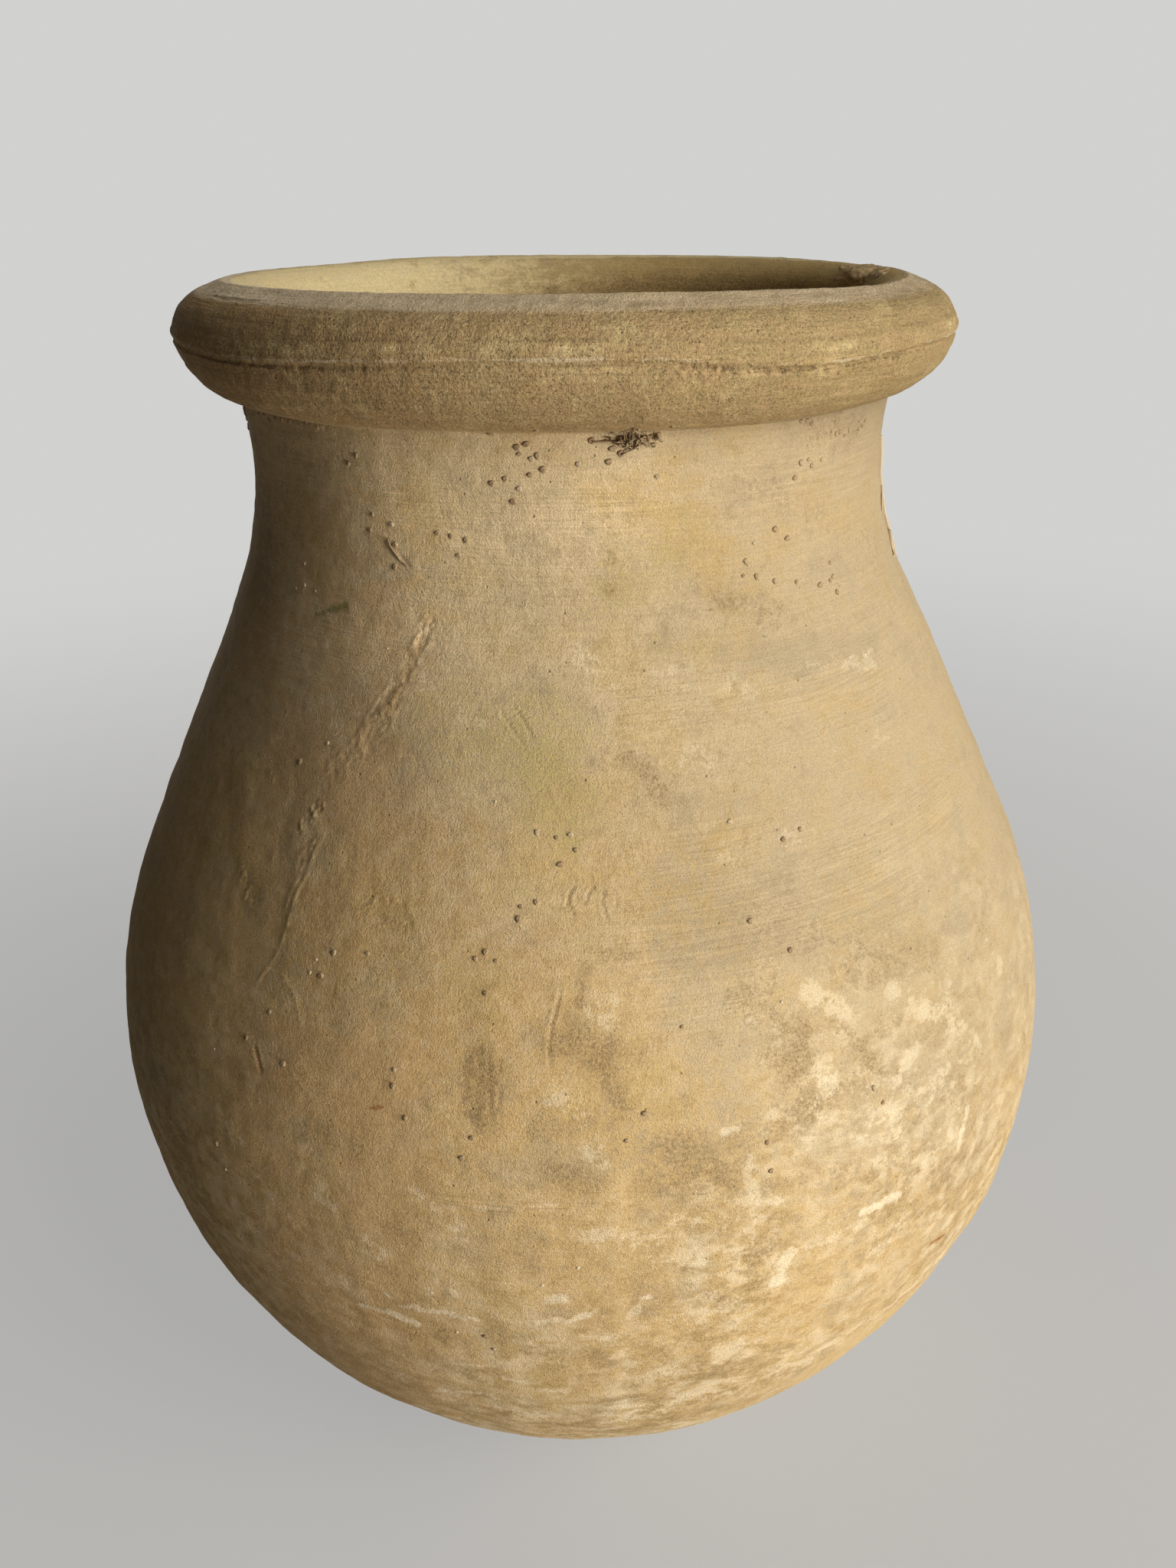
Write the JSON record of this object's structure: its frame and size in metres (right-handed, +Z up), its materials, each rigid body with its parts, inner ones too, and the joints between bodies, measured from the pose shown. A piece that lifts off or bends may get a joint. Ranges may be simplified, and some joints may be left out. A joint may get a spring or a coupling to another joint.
{
  "type": "olive jar",
  "caption": "Wide-bellied unglazed earthenware jar with a flat foot, a short hollow neck and a thick rolled rim, built of luted rings; stores olives or oil, or stands in a garden.",
  "frame": {"origin": "centre of the flat foot, on the surface that the jar stands on", "axes": "+Z up along the jar's axis through the mouth; X and Y are any two level directions, and the picture looks along +Y"},
  "size_m": [0.42, 0.42, 0.5009],
  "materials": {
    "clay_body": "matte unglazed buff earthenware, weathered, with pale bloom and brown stains",
    "clay_rim": "matte unglazed buff earthenware, worn pale on the crest and greyed on top",
    "dried_plant": "dry matte plant fibre"
  },
  "bodies": {
    "root": {"base": "clay_body", "lower_wall": "clay_body", "lower_belly": "clay_body", "upper_belly": "clay_body", "shoulder": "clay_body", "neck": "clay_body", "rim": "clay_rim"}
  },
  "joints": []
}
